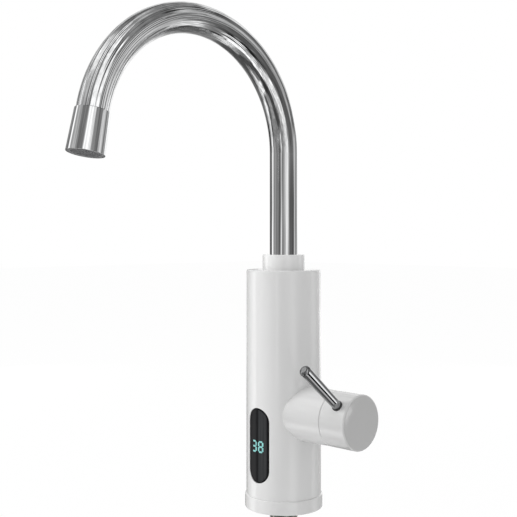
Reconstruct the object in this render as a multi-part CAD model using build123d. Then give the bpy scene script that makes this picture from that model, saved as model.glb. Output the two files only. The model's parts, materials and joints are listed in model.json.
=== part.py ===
from build123d import *
from math import cos, radians, sin, tan
import os

# Electric instant water heater tap: a white cylinder on a worktop, with a display window at the
# front (-Y), a side handle (+X) and a swinging gooseneck spout that points to the front at rest.
# Units are millimetres. The origin is the middle of the base's underside, on the worktop. +Z is up.

# Fits and small gaps
running_fit = 0.06
slip_fit = 0.10
free_gap = 0.30
hidden_edge = 0.6
match_size = 0.01

# Body and base
body_radius = 28.0
body_height = 167.15
body_wall = 2.5
body_roof = 3.0
body_edge = 1.2
spigot_length = 5.0
spigot_wall = 1.0
base_lip = 1.0
base_height = 9.9
base_floor = 3.0
base_edge = 0.8
base_foot_edge = 0.5

# Worktop fixing under the base
shank_radius = 10.48
shank_relief = 1.1
shank_bore = 5.5
shank_length = 52.0
shank_flange_radius = 14.0
shank_flange_height = 4.0
inlet_thread_length = 15.0
relief_length = 3.0
worktop_thickness = 20.0
gasket_inner = 23.0
gasket_outer = 26.4
gasket_height = 1.8
washer_radius = 23.0
rubber_washer_height = 3.0
steel_washer_height = 1.5
washer_edge = 0.4
nut_flats = 32.0
nut_flange_radius = 20.0
nut_flange_height = 2.0
nut_height = 8.5
nut_crown = 1.6
base_screw_circle = 19.0
base_screw_radius = 1.5
base_screw_head = 2.8
base_screw_sink = 1.6
base_screw_count = 3
base_screw_angle = 30.0

# Carrier inside the body
carrier_floor = 2.5
carrier_top = 3.0
rail_depth = 3.0
rail_arc = 20.0
rail_angles = (48.0, 132.0, 228.0, 312.0)
shelf_rise = 13.4
shelf_thickness = 2.5
shelf_hole = 9.0
post_width = 3.0
post_wall = 1.2
post_grip = 2.5
screw_boss_radius = 3.2
screw_boss_height = 7.0

# Water path: inlet, flow switch, valve, tank and outlet
hose_wall = 2.0
hose_gap = 0.5
nipple_bore = 3.0
shank_nipple_radius = 7.5
shank_nipple_length = 10.0
flow_body_radius = 10.0
flow_body_bottom = 28.0
flow_body_height = 22.0
flow_chamber_radius = 5.5
flow_seat_bore = 3.4
piston_length = 8.0
piston_travel = 5.0
piston_bore = 1.6
reed_radius = 1.4
reed_length = 12.0
valve_radius = 13.0
valve_back = -8.0
valve_port_radius = 5.5
valve_port_depth = 4.5
cartridge_radius = 10.5
cartridge_back = 8.0
cartridge_front = 37.0
cartridge_wall = 2.0
cartridge_neck_radius = 6.5
cartridge_neck_length = 9.0
valve_flange_overlap = 4.5
bonnet_recess = 5.0
disc_thickness = 4.5
disc_port_radius = 1.8
disc_slot_width = 3.0
bonnet_flats = 22.0
bonnet_height = 5.0
small_nipple_radius = 4.5
small_nipple_length = 8.0
tank_room = 4.2
tank_height = 34.0
tank_wall = 1.2
tank_edge = 4.0
element_radius = 2.2
element_bend = 10.0
element_clearance = 6.0
element_shoulder = 1.5
terminal_length = 6.0
probe_radius = 2.0
probe_depth = 10.0
probe_head = 4.0
probe_flats = 6.0
probe_offset = 11.0
cutout_radius = 6.0
cutout_thickness = 5.0

# Spout swivel at the top of the body
collar_radius = 15.9
collar_height = 11.3
collar_edge = 0.6
neck_rise = 5.0
neck_wall = 1.25
socket_flange_radius = 20.0
socket_flange_thickness = 4.0
socket_barrel_length = 17.0
socket_floor = 2.5
stem_undersize = 0.5
socket_wall = 2.4
stem_flange_lip = 1.2
stem_flange_thickness = 2.8
stem_bore = 6.5
stem_plug_length = 16.0
ring_groove_depth = 1.6
ring_groove_width = 2.2
ring_groove_spacing = 7.0
ring_count = 2

# Spout and nozzle
spout_radius = 10.5
spout_wall = 1.0
spout_rise = 75.7
spout_reach = 174.4
bend_angle = 168.9
nozzle_seam = 0.25
nozzle_length = 28.0
nozzle_root_radius = 11.35
nozzle_tip_radius = 12.45
nozzle_edge = 0.25
nozzle_plug_length = 4.0
nozzle_plug_slip = 0.25
nozzle_plug_wall = 1.4
aerator_radius = 11.55
aerator_length = 10.0
aerator_recess = 0.3
aerator_rim = 1.6
aerator_slot = 0.5
aerator_hole = 0.8
aerator_hole_counts = (5, 11)
aerator_hole_circles = (3.2, 6.8)
aerator_gasket_height = 1.6

# Side boss, handle cap and lever
handle_height = 71.95
boss_reach = 51.9
boss_radius = 19.6
boss_draft = 2.3
boss_wall = 2.5
boss_edge = 0.35
cap_length = 22.5
cap_radius = 19.8
cap_edge = 1.3
cap_wall = 2.6
cap_solid = 13.7
cap_hub_radius = 7.0
cap_hub_length = 6.0
spindle_radius = 4.0
spindle_flat = 1.0
spindle_grip = 9.0
spindle_overrun = 2.0
lever_angle = 50.2
lever_setback = 9.2
lever_length = 45.2
lever_root_radius = 3.35
lever_tip_radius = 4.0
lever_dome = 2.2
lever_seat = 2.0
lever_thread_radius = 2.5
lever_thread_length = 7.0
lever_mouth = 0.9
seal_wall = 0.45
seal_height = 1.9
seal_edge = 0.2
grub_radius = 2.0
grub_length = 3.2

# Display window, board and digits
window_height = 48.75
window_width = 19.9
window_length = 54.9
window_edge = 0.45
frame_width = 0.9
frame_recess = 0.5
frame_flange = 1.6
frame_flange_thickness = 1.0
lens_recess = 0.1
lens_thickness = 1.6
digit_width = 4.9
digit_height = 8.6
digit_gap = 1.4
digit_drop = 0.5
segment_width = 1.2
segment_gap = 0.22
segment_corner = 0.4
segment_thickness = 0.15
digit_lift = 0.02
module_width = 14.0
module_height = 13.0
module_depth = 5.0
board_width = 18.0
board_length = 48.0
board_thickness = 1.6
board_setback = 8.4
board_hole_radius = 0.9
board_hole_inset = 2.2

# Power board at the back of the tank
power_board_width = 22.0
power_board_length = 50.0
power_board_setback = 5.7
triac_width = 8.0
triac_height = 15.0
triac_depth = 2.4
relay_width = 9.0
relay_height = 12.0

# Cable inlet at the back of the body
gland_height = 22.0
gland_radius = 5.5
gland_bore = 3.6
gland_lip_radius = 7.5
gland_lip_rise = 2.2
gland_lip_bed = 1.0
gland_nose_radius = 6.0
gland_nose_rise = 2.5
gland_inner_length = 3.0

# Worked out from the sizes above
body_inner = body_radius - body_wall
body_top = base_height + body_height
roof_under = body_top - body_roof
base_radius = body_radius + base_lip
spigot_outer = body_inner + spigot_wall
base_inner = spigot_outer + slip_fit
carrier_radius = body_inner - free_gap
collar_top = body_top + collar_height
boss_bore = boss_radius - boss_wall
cap_back = boss_reach + free_gap
cap_face = cap_back + cap_length
lever_station = cap_face - lever_setback
neck_top = body_top + neck_rise
stem_barrel = spout_radius - stem_undersize
stem_radius = stem_barrel - running_fit
socket_barrel = stem_barrel + socket_wall
stem_flange_radius = spout_radius + stem_flange_lip
neck_bore = stem_flange_radius + running_fit
neck_radius = neck_bore + neck_wall
socket_flange_bottom = roof_under - socket_flange_thickness
socket_bottom = socket_flange_bottom - socket_barrel_length
stem_flange_bottom = neck_top - stem_flange_thickness - slip_fit
spout_bottom = stem_flange_bottom + stem_flange_thickness
bend_radius = spout_reach / 2
bend_height = collar_top + spout_rise
flow_body_top = flow_body_bottom + flow_body_height
flow_chamber_height = piston_length + piston_travel + free_gap
shank_flange_top = base_floor + shank_flange_height
shank_nipple_top = shank_flange_top + shank_nipple_length
piston_seat = flow_body_bottom + (flow_body_height - flow_chamber_height) / 2
valve_bottom = handle_height - valve_radius
valve_top = handle_height + valve_radius
shelf_height = valve_top + shelf_rise
tank_bottom = shelf_height + shelf_thickness
tank_top = tank_bottom + tank_height
tank_radius = carrier_radius - rail_depth - tank_room
window_plane = Plane(origin=(0, 0, window_height), x_dir=(1, 0, 0), z_dir=(0, -1, 0))
digit_level = window_height - digit_drop
handle_axis = Plane(origin=(0, 0, handle_height), x_dir=(0, 1, 0), z_dir=(1, 0, 0)).location
spindle_end = cap_face - cap_solid + spindle_overrun
grub_station = cap_face - cap_solid - cap_hub_length / 2
lever_way = Vector(0, -sin(radians(lever_angle)), cos(radians(lever_angle)))
lever_axis = Plane(
    origin=(lever_station, 0, handle_height), x_dir=(1, 0, 0), z_dir=lever_way
).location
grub_axis = Plane(
    origin=(grub_station, 0, handle_height), x_dir=(1, 0, 0), z_dir=-lever_way
).location
bend_end = Vector(
    0,
    -bend_radius * (1 - cos(radians(bend_angle))),
    bend_height + bend_radius * sin(radians(bend_angle)),
)
nozzle_way = Vector(0, -sin(radians(bend_angle)), cos(radians(bend_angle)))
aerator_start = nozzle_length - aerator_recess - aerator_length
gasket_start = aerator_start - aerator_gasket_height
nozzle_axis = Plane(origin=bend_end, x_dir=(1, 0, 0), z_dir=nozzle_way).location


def rod(radius, start, end):
    """A round bar on the Z axis from height start to height end."""
    bar = Cylinder(radius, end - start, align=(Align.CENTER, Align.CENTER, Align.MIN))
    return Pos(0, 0, start) * bar


def tube(outer, inner, start, end):
    """A round tube on the Z axis from height start to height end."""
    return rod(outer, start, end) - rod(inner, start, end)


def taper(start_radius, end_radius, start, end):
    """A cone on the Z axis from height start to height end."""
    cone = Cone(
        start_radius, end_radius, end - start, align=(Align.CENTER, Align.CENTER, Align.MIN)
    )
    return Pos(0, 0, start) * cone


def hexagon(flats, start, end):
    """A six-sided bar on the Z axis, measured across its flats."""
    outline = RegularPolygon(flats / 2, 6, major_radius=False)
    return Pos(0, 0, start) * extrude(outline, amount=end - start)


def rim(shape, radius, height):
    """The round edges of a shape at one radius and one height on the Z axis."""
    rings = shape.edges().filter_by(GeomType.CIRCLE)
    return rings.filter_by(
        lambda edge: abs(edge.radius - radius) < match_size
        and abs(edge.arc_center.Z - height) < match_size
    )


def around(radius, count, first_angle=0.0):
    """Places spaced evenly on a circle about the Z axis."""
    angles = [first_angle + 360 * turn / count for turn in range(count)]
    return [Rot(0, 0, angle) * Pos(radius, 0, 0) for angle in angles]


def base_screw_places():
    """Where the three screws stand in the base."""
    return around(base_screw_circle, base_screw_count, base_screw_angle)


def slot_prism(width, length):
    """An upright slot with round ends, pushed out from the body's axis to the front."""
    outline = window_plane * SlotOverall(length, width, rotation=90)
    return extrude(outline, amount=2 * body_radius)


def curved_plate(width, length, inner, outer):
    """A slot-shaped plate bent round the body's axis, at the front."""
    low = window_height - length
    high = window_height + length
    return slot_prism(width, length) & tube(outer, inner, low, high)


# Base and worktop fixing


def make_base_ring():
    """The white foot: a shallow cup that the body stands in, with a groove for its gasket."""
    cup = rod(base_radius, 0, base_height) - rod(base_inner, base_floor, base_height)
    cup -= tube(gasket_outer, gasket_inner, 0, gasket_height)
    cup -= rod(shank_radius + slip_fit, 0, base_floor)
    for place in base_screw_places():
        cup -= place * rod(base_screw_radius + slip_fit, 0, base_floor)
        cup -= place * taper(base_screw_head + slip_fit, base_screw_radius, 0, base_screw_sink)
    cup = fillet(rim(cup, base_radius, base_height), base_edge)
    return fillet(rim(cup, base_radius, 0), base_foot_edge)


def make_base_gasket():
    """The soft ring that seals the base to the worktop, flush with the underside."""
    return tube(gasket_outer - slip_fit, gasket_inner + slip_fit, 0, gasket_height)


def make_base_screws():
    """The countersunk screws that hold the carrier down on the base."""
    screws = []
    depth = base_floor + screw_boss_height
    for place in base_screw_places():
        head = taper(base_screw_head, base_screw_radius, 0, base_screw_sink)
        screws.append(place * (head + rod(base_screw_radius, base_screw_sink / 2, depth)))
    return Compound(screws)


def make_shank():
    """The hollow threaded stud: flange inside the base, water inlet thread at the low end."""
    core = shank_radius - shank_relief
    thread_top = -shank_length + inlet_thread_length
    stud = rod(shank_radius, -shank_length, base_floor)
    stud = chamfer(rim(stud, shank_radius, -shank_length), shank_relief)
    stud -= tube(shank_radius + free_gap, core, thread_top, thread_top + relief_length)
    stud += rod(shank_flange_radius, base_floor, shank_flange_top)
    stud += rod(shank_nipple_radius, shank_flange_top, shank_nipple_top)
    return stud - rod(shank_bore, -shank_length, shank_nipple_top)


def make_rubber_washer():
    """The soft washer that bears on the worktop from below."""
    top = -worktop_thickness
    return tube(washer_radius, shank_radius + slip_fit, top - rubber_washer_height, top)


def make_steel_washer():
    """The flat washer between the rubber and the nut."""
    top = -worktop_thickness - rubber_washer_height
    washer = tube(washer_radius, shank_radius + slip_fit, top - steel_washer_height, top)
    return fillet(rim(washer, washer_radius, top - steel_washer_height), washer_edge)


def make_lock_nut():
    """The flanged nut that pulls the tap down on the worktop."""
    top = -worktop_thickness - rubber_washer_height - steel_washer_height
    corner = nut_flats / 2 / cos(radians(30))
    crown = taper(corner - nut_crown, corner + nut_height, top - nut_height, top)
    nut = hexagon(nut_flats, top - nut_height, top) & crown
    nut += rod(nut_flange_radius, top - nut_flange_height, top)
    return nut - rod(shank_radius + slip_fit, top - nut_height, top)


# Body shell


def window_lip(shell):
    """The outer edges of the shell's window."""

    def on_lip(edge):
        middle = edge @ 0.5
        reach = (middle.X**2 + middle.Y**2) ** 0.5
        beside = abs(middle.X) < window_width / 2 + slip_fit
        along = abs(middle.Z - window_height) < window_length / 2 + slip_fit
        return middle.Y < 0 and beside and along and reach > body_radius - slip_fit

    return shell.edges().filter_by(on_lip)


def make_body_shell():
    """The white cylinder with its side boss, display window and cable hole."""
    boss_root = boss_radius + boss_reach * tan(radians(boss_draft))
    shell = rod(body_radius, base_height, body_top)
    shell = fillet(rim(shell, body_radius, body_top), body_edge)
    boss = taper(boss_root, boss_radius, 0, boss_reach)
    shell += handle_axis * chamfer(rim(boss, boss_radius, boss_reach), boss_edge)
    shell += rod(spigot_outer, base_height - spigot_length, base_height)
    shell -= rod(body_inner, base_height - spigot_length, roof_under)
    shell -= handle_axis * rod(boss_bore, 0, boss_reach)
    shell -= rod(neck_radius + slip_fit, roof_under, body_top)
    shell -= slot_prism(window_width, window_length)
    shell = fillet(window_lip(shell), window_edge)
    hole = Plane(origin=(0, 0, gland_height), z_dir=(0, 1, 0)).location
    return shell - hole * rod(gland_radius + slip_fit, 0, 2 * body_radius)


# Carrier


def polar(radius, angle):
    """A flat point given by its distance from the Z axis and its angle."""
    return radius * cos(radians(angle)), radius * sin(radians(angle))


def carrier_bay(low, high):
    """The open space between two of the carrier's plates, with the rails left standing."""
    bay = rod(carrier_radius - rail_depth, low, high)
    reach = 2 * carrier_radius
    for turn, angle in enumerate(rail_angles):
        start = rail_angles[turn - 1] - 360 * (turn == 0) + rail_arc / 2
        end = angle - rail_arc / 2
        wedge = Polygon((0, 0), polar(reach, start), polar(reach, end), align=None)
        bay += Pos(0, 0, low) * extrude(wedge, amount=high - low)
    return bay


def board_post(side):
    """A slotted post that holds one side of the display board's foot."""
    foot = window_height - board_length / 2
    slot_middle = -body_radius + board_setback + board_thickness / 2
    spot = Pos(side * board_width / 3, slot_middle, 0)
    low = Pos(0, 0, base_floor)
    size = Align.CENTER, Align.CENTER, Align.MIN
    height = foot + post_grip - base_floor
    post = low * Box(post_width, board_thickness + 2 * post_wall, height, align=size)
    slot = Pos(0, 0, foot) * Box(
        2 * post_width, board_thickness + 2 * slip_fit, 2 * post_grip, align=size
    )
    return spot * (post - slot)


def make_carrier():
    """The plastic frame inside: floor, shelf and top plate on three curved rails."""
    top_start = socket_flange_bottom - carrier_top
    floor_top = base_floor + carrier_floor
    boss_top = base_floor + screw_boss_height
    carrier = rod(carrier_radius, base_floor, socket_flange_bottom)
    carrier -= carrier_bay(floor_top, shelf_height)
    carrier -= carrier_bay(tank_bottom, top_start)
    carrier -= rod(shank_flange_radius + free_gap, base_floor, floor_top)
    carrier -= rod(shelf_hole, shelf_height, tank_bottom)
    carrier -= rod(socket_barrel + slip_fit, top_start, socket_flange_bottom)
    for side in (-1, 1):
        carrier += board_post(side)
    for place in base_screw_places():
        carrier += place * rod(screw_boss_radius, base_floor, boss_top)
        carrier -= place * rod(base_screw_radius, base_floor, boss_top + carrier_floor)
    return carrier


# Water path inside the body


def make_inlet_hose():
    """The short hose from the stud's nipple up to the flow switch."""
    start = shank_flange_top + hose_gap
    end = flow_body_bottom - hose_gap
    return tube(shank_nipple_radius + hose_wall, shank_nipple_radius, start, end)


def make_flow_body():
    """The barrel that the water lifts a piston in, between the hose and the valve."""
    body = rod(flow_body_radius, flow_body_bottom, flow_body_top)
    body = chamfer(rim(body, flow_body_radius, flow_body_top), hidden_edge)
    body += rod(shank_nipple_radius, shank_nipple_top + hose_gap, flow_body_bottom)
    body += rod(valve_port_radius - slip_fit, flow_body_top, valve_bottom + valve_port_depth)
    body -= rod(flow_chamber_radius, piston_seat, piston_seat + flow_chamber_height)
    return body - rod(flow_seat_bore, 0, handle_height)


def make_flow_piston():
    """The magnet piston that rests on its seat and rises while water flows."""
    piston = rod(flow_chamber_radius - running_fit, piston_seat, piston_seat + piston_length)
    return piston - rod(piston_bore, piston_seat, piston_seat + piston_length)


def make_reed_switch():
    """The sealed switch clipped in front of the flow barrel."""
    offset = flow_body_radius + reed_radius
    start = piston_seat + piston_length / 2
    return Pos(0, -offset, 0) * rod(reed_radius, start, start + reed_length)


def make_valve_body():
    """The brass body that lies across the tap, with the cartridge's bore towards the boss."""
    front = cartridge_front + bonnet_recess
    flange_back = cartridge_front - valve_flange_overlap
    inlet = rod(valve_port_radius, flow_body_top, valve_bottom + valve_port_depth)
    outlet_end = valve_top + small_nipple_length
    body = handle_axis * rod(valve_radius, valve_back, front)
    body += handle_axis * rod(boss_bore - slip_fit, flange_back, front)
    body += rod(small_nipple_radius, handle_height, outlet_end)
    body -= inlet
    body -= rod(nipple_bore, valve_bottom, outlet_end)
    body -= handle_axis * rod(cartridge_radius + slip_fit, cartridge_back, front)
    return body - handle_axis * rod(nipple_bore, 0, cartridge_back)


def make_cartridge():
    """The plastic cartridge: a sleeve with a neck that the spindle turns in."""
    shoulder = cartridge_front
    sleeve = rod(cartridge_radius, cartridge_back, shoulder)
    sleeve = chamfer(rim(sleeve, cartridge_radius, cartridge_back), hidden_edge)
    sleeve += rod(cartridge_neck_radius, shoulder, shoulder + cartridge_neck_length)
    chamber = cartridge_radius - cartridge_wall
    sleeve -= rod(chamber, cartridge_back + cartridge_wall, shoulder - 2 * cartridge_wall)
    sleeve -= rod(spindle_radius + running_fit, cartridge_back + cartridge_wall, cap_back)
    for place in around(chamber / 2, 2):
        sleeve -= place * rod(disc_port_radius, cartridge_back, cartridge_back + cartridge_wall)
    return handle_axis * sleeve


def make_fixed_disc():
    """The ceramic disc that stays still in the cartridge, with two ports."""
    start = cartridge_back + cartridge_wall
    radius = cartridge_radius - cartridge_wall - slip_fit
    disc = rod(radius, start, start + disc_thickness)
    for place in around(radius / 2, 2):
        disc -= place * rod(disc_port_radius, start, start + disc_thickness)
    return handle_axis * disc


def make_moving_disc():
    """The ceramic disc that turns with the spindle and opens the ports."""
    start = cartridge_back + cartridge_wall + disc_thickness + slip_fit
    radius = cartridge_radius - cartridge_wall - slip_fit
    disc = rod(radius, start, start + disc_thickness)
    slot = Pos(radius, 0, start) * Box(radius, disc_slot_width, 3 * disc_thickness)
    return handle_axis * (disc - slot)


def make_bonnet_nut():
    """The brass nut that screws in the valve body and holds the cartridge."""
    face = cartridge_front + bonnet_recess
    nut = rod(cartridge_radius, cartridge_front, face)
    nut += hexagon(bonnet_flats, face, face + bonnet_height)
    return handle_axis * (nut - rod(cartridge_neck_radius + slip_fit, 0, cap_back))


def make_spindle():
    """The splined stem from the moving disc out to the handle cap."""
    start = cartridge_back + cartridge_wall + 2 * disc_thickness + slip_fit
    stem = rod(spindle_radius, start, spindle_end)
    stem = chamfer(rim(stem, spindle_radius, spindle_end), hidden_edge)
    flat = Pos(0, 0, 2 * spindle_radius - spindle_flat) * Box(
        spindle_grip, 2 * spindle_radius, 2 * spindle_radius
    )
    return handle_axis * stem - grub_axis * flat


def make_small_hose(start, end):
    """A short hose that slips over two small nipples."""
    return tube(small_nipple_radius + hose_wall, small_nipple_radius, start, end)


def make_heater_tank():
    """The thin steel tank with a nipple below and another above."""
    tank = rod(tank_radius, tank_bottom, tank_top)
    tank = fillet(rim(tank, tank_radius, tank_top), tank_edge)
    tank = fillet(rim(tank, tank_radius, tank_bottom), tank_edge)
    inside = rod(tank_radius - tank_wall, tank_bottom + tank_wall, tank_top - tank_wall)
    low = valve_top + small_nipple_length + hose_gap
    high = tank_top + small_nipple_length
    tank += rod(small_nipple_radius, low, high)
    tank -= inside
    tank -= rod(nipple_bore, low, high)
    for side in (-1, 1):
        tank -= Pos(side * element_bend, 0, 0) * rod(
            element_radius + slip_fit, tank_top - 2 * tank_wall, tank_top
        )
    tank -= Pos(0, probe_offset, 0) * rod(
        probe_radius + slip_fit, tank_top - 2 * tank_wall, tank_top
    )
    return tank


def make_heating_element():
    """The hairpin heating rod in the tank, with a terminal pin on each leg."""
    low = tank_bottom + element_clearance + element_bend
    element = Pos(0, 0, low) * Rot(90, 0, 0) * Torus(element_bend, element_radius)
    element -= Pos(0, 0, low + tank_height) * Box(4 * tank_radius, 4 * tank_radius, 2 * tank_height)
    for side in (-1, 1):
        leg = rod(element_radius, low, tank_top + element_shoulder)
        leg += rod(element_radius / 2, tank_top, tank_top + terminal_length)
        element += Pos(side * element_bend, 0, 0) * leg
    return element


def make_temperature_probe():
    """The sensor screwed in the tank's roof."""
    probe = rod(probe_radius, tank_top - probe_depth, tank_top)
    probe += hexagon(probe_flats, tank_top, tank_top + probe_head)
    return Pos(0, probe_offset, 0) * probe


def make_thermal_cutout():
    """The safety switch clamped on the tank's side."""
    middle = tank_bottom + tank_height / 2
    out = Plane(origin=(0, 0, middle), z_dir=(-1, 0, 0)).location
    switch = rod(cutout_radius, 0, tank_radius + cutout_thickness)
    switch = chamfer(rim(switch, cutout_radius, tank_radius + cutout_thickness), hidden_edge)
    return out * switch - rod(tank_radius + running_fit, tank_bottom, tank_top)


# Boards


def upright_board(width, length, thickness, bottom, front):
    """A flat board that stands on its low edge, its front face towards -Y."""
    centre = Pos(0, front + thickness / 2, bottom + length / 2)
    return centre * Box(width, thickness, length)


def make_display_board():
    """The small board that stands behind the window and carries the digits."""
    front = -body_radius + board_setback
    bottom = window_height - board_length / 2
    board = upright_board(board_width, board_length, board_thickness, bottom, front)
    beside = board_width / 2 - board_hole_inset
    along = board_length / 2 - board_hole_inset
    for side in (-1, 1):
        for end in (-1, 1):
            spot = Pos(side * beside, front, window_height + end * along)
            board -= spot * Rot(90, 0, 0) * Cylinder(board_hole_radius, 4 * board_thickness)
    return board


def make_digit_module():
    """The light block soldered on the display board, behind the lens."""
    back = -body_radius + board_setback
    block = Pos(0, back - module_depth / 2, digit_level) * Box(
        module_width, module_depth, module_height
    )
    return chamfer(block.edges().filter_by(Axis.Z), hidden_edge)


def make_power_board():
    """The board at the back of the tank that switches the heater."""
    front = body_radius - power_board_setback - board_thickness
    return upright_board(
        power_board_width, power_board_length, board_thickness, tank_bottom, front
    )


def make_triac():
    """The heat-sinking switch on the power board's back face."""
    back = body_radius - power_board_setback
    spot = Pos(0, back + triac_depth / 2, tank_bottom + power_board_length - triac_height)
    return spot * Box(triac_width, triac_depth, triac_height)


def make_relay():
    """The cut-off relay low on the power board's back face."""
    back = body_radius - power_board_setback
    spot = Pos(0, back + triac_depth / 2, tank_bottom + relay_height)
    return spot * Box(relay_width, triac_depth, relay_height)


# Display window


def make_display_frame():
    """The black surround that lines the window and grips the shell from inside."""
    width = window_width - 2 * slip_fit
    length = window_length - 2 * slip_fit
    outer = body_radius - frame_recess
    flange_outer = body_inner - slip_fit
    flange = curved_plate(
        width + 2 * frame_flange,
        length + 2 * frame_flange,
        flange_outer - frame_flange_thickness,
        flange_outer,
    )
    lining = curved_plate(width, length, flange_outer - frame_flange_thickness, outer)
    hole = slot_prism(width - 2 * frame_width, length - 2 * frame_width)
    return (flange + lining) - hole


def make_display_lens():
    """The smoked lens, curved like the body, that fills the surround."""
    inset = frame_width + 2 * slip_fit
    outer = body_radius - lens_recess
    return curved_plate(
        window_width - 2 * inset, window_length - 2 * inset, outer - lens_thickness, outer
    )


def lit_segments(shown):
    """The flat outlines of one digit's lit bars, about the digit's own middle."""
    half_width = (digit_width - segment_width) / 2
    half_height = (digit_height - segment_width) / 2
    across = 2 * half_width - segment_width / 2 - segment_gap
    up = half_height - segment_width / 2 - segment_gap
    bars = {
        "top": (0, half_height, across, segment_width),
        "middle": (0, 0, across, segment_width),
        "bottom": (0, -half_height, across, segment_width),
        "upper right": (half_width, half_height / 2, segment_width, up),
        "lower right": (half_width, -half_height / 2, segment_width, up),
        "upper left": (-half_width, half_height / 2, segment_width, up),
        "lower left": (-half_width, -half_height / 2, segment_width, up),
    }
    outlines = []
    for name in shown:
        x, y, wide, high = bars[name]
        outlines.append(Pos(x, y) * RectangleRounded(wide, high, segment_corner))
    return outlines


def make_display_digits():
    """The lit bars of a two-digit temperature, as thin windows on the lens."""
    digits = {
        -1: ("top", "middle", "bottom", "upper right", "lower right"),
        1: (
            "top",
            "middle",
            "bottom",
            "upper right",
            "lower right",
            "upper left",
            "lower left",
        ),
    }
    inner = body_radius - lens_recess + digit_lift
    low = window_height - window_length
    high = window_height + window_length
    skin = tube(inner + segment_thickness, inner, low, high)
    bars = []
    for side, shown in digits.items():
        for outline in lit_segments(shown):
            shift = side * (digit_width + digit_gap) / 2
            spot = window_plane * Pos(shift, -digit_drop)
            prism = extrude(spot * outline, amount=2 * body_radius)
            bars.append(prism & skin)
    return Compound([bar.solid() for bar in bars])


# Cable inlet


def make_cable_gland():
    """The rubber grommet at the back where the supply cable would enter."""
    start = body_inner - gland_inner_length
    lip_end = body_radius + gland_lip_rise
    gland = rod(gland_radius, start, lip_end)
    gland += rod(gland_lip_radius, body_radius - gland_lip_bed, lip_end)
    gland = fillet(rim(gland, gland_lip_radius, lip_end), hidden_edge)
    gland += rod(gland_nose_radius, body_radius, body_radius + gland_nose_rise)
    out = Plane(origin=(0, 0, gland_height), z_dir=(0, 1, 0)).location
    skin = tube(body_radius + running_fit, body_inner - running_fit, 0, 2 * gland_height)
    collar = out * tube(gland_lip_radius + free_gap, gland_radius, 0, 2 * body_radius)
    gland = out * (gland - rod(gland_bore, 0, 2 * body_radius))
    return gland - (skin & collar)


# Spout swivel


def make_top_collar():
    """The white collar that screws on the socket's neck and traps the spout."""
    collar = rod(collar_radius, body_top, collar_top)
    collar = fillet(rim(collar, collar_radius, collar_top), collar_edge)
    collar -= rod(neck_radius + running_fit, body_top, neck_top + free_gap)
    return collar - rod(spout_radius + running_fit, body_top, collar_top)


def make_outlet_socket():
    """The brass socket under the roof: flange, neck for the collar and bore for the spout."""
    socket = rod(neck_radius, socket_flange_bottom, neck_top)
    socket += rod(socket_flange_radius, socket_flange_bottom, roof_under)
    socket += rod(socket_barrel, socket_bottom, socket_flange_bottom)
    low = socket_bottom - small_nipple_length
    socket += rod(small_nipple_radius, low, socket_bottom)
    socket -= rod(neck_bore, stem_flange_bottom - slip_fit, neck_top)
    socket -= rod(stem_barrel, socket_bottom + socket_floor, neck_top)
    return socket - rod(nipple_bore, low, neck_top)


def ring_heights():
    """The heights of the seal grooves on the spout's stem."""
    first = socket_bottom + socket_floor + free_gap + ring_groove_spacing / 2
    return [first + ring_groove_spacing * step for step in range(ring_count)]


def make_spout_stem():
    """The brass end of the spout: stem with seal grooves, flange, and plug in the tube."""
    bottom = socket_bottom + socket_floor + free_gap
    stem = rod(stem_radius, bottom, stem_flange_bottom)
    stem += rod(stem_flange_radius, stem_flange_bottom, spout_bottom)
    stem += rod(spout_radius - spout_wall - slip_fit, spout_bottom, spout_bottom + stem_plug_length)
    for height in ring_heights():
        low = height - ring_groove_width / 2
        core = stem_radius - ring_groove_depth
        stem -= tube(stem_radius + free_gap, core, low, low + ring_groove_width)
    return stem - rod(stem_bore, bottom, spout_bottom + stem_plug_length)


def make_spout_rings():
    """The rubber rings in the stem's grooves that seal the swivel and hold it still."""
    inner = stem_radius - ring_groove_depth + running_fit
    rings = []
    for height in ring_heights():
        low = height - ring_groove_width / 2 + slip_fit
        high = height + ring_groove_width / 2 - slip_fit
        rings.append(tube(stem_radius, inner, low, high).solid())
    return Compound(rings)


# Spout and nozzle


def make_spout_tube():
    """The gooseneck: a straight riser and a wide bend that ends at the nozzle."""
    riser = tube(spout_radius, spout_radius - spout_wall, spout_bottom, bend_height)
    ring = Circle(spout_radius) - Circle(spout_radius - spout_wall)
    bend_axis = Axis((0, -bend_radius, bend_height), (1, 0, 0))
    return riser + revolve(Pos(0, 0, bend_height) * ring, bend_axis, bend_angle)


def make_nozzle():
    """The flared end of the spout, plugged in the bend and bored for the aerator."""
    plug_radius = spout_radius - spout_wall - nozzle_plug_slip
    nozzle = taper(nozzle_root_radius, nozzle_tip_radius, nozzle_seam, nozzle_length)
    nozzle = fillet(rim(nozzle, nozzle_tip_radius, nozzle_length), nozzle_edge)
    nozzle = chamfer(rim(nozzle, nozzle_root_radius, nozzle_seam), nozzle_edge)
    nozzle += rod(plug_radius, -nozzle_plug_length, nozzle_seam)
    nozzle -= rod(plug_radius - nozzle_plug_wall, -nozzle_plug_length, nozzle_length)
    return nozzle_axis * (nozzle - rod(aerator_radius + slip_fit, gasket_start, nozzle_length))


def make_aerator_gasket():
    """The flat rubber ring above the aerator."""
    inner = spout_radius - spout_wall - nozzle_plug_slip - nozzle_plug_wall
    return nozzle_axis * tube(aerator_radius, inner, gasket_start, aerator_start)


def make_aerator():
    """The outlet insert: a cage whose face is pierced by two rings of holes."""
    end = nozzle_length - aerator_recess
    cage = rod(aerator_radius, aerator_start, end)
    cage -= rod(aerator_radius - aerator_rim, aerator_start, end - aerator_rim)
    cage -= tube(aerator_radius - aerator_rim / 2, aerator_radius - aerator_rim, end - aerator_slot, end)
    for count, circle in zip(aerator_hole_counts, aerator_hole_circles):
        for place in around(circle, count):
            cage -= place * rod(aerator_hole, aerator_start, end)
    return nozzle_axis * cage


# Handle


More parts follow.
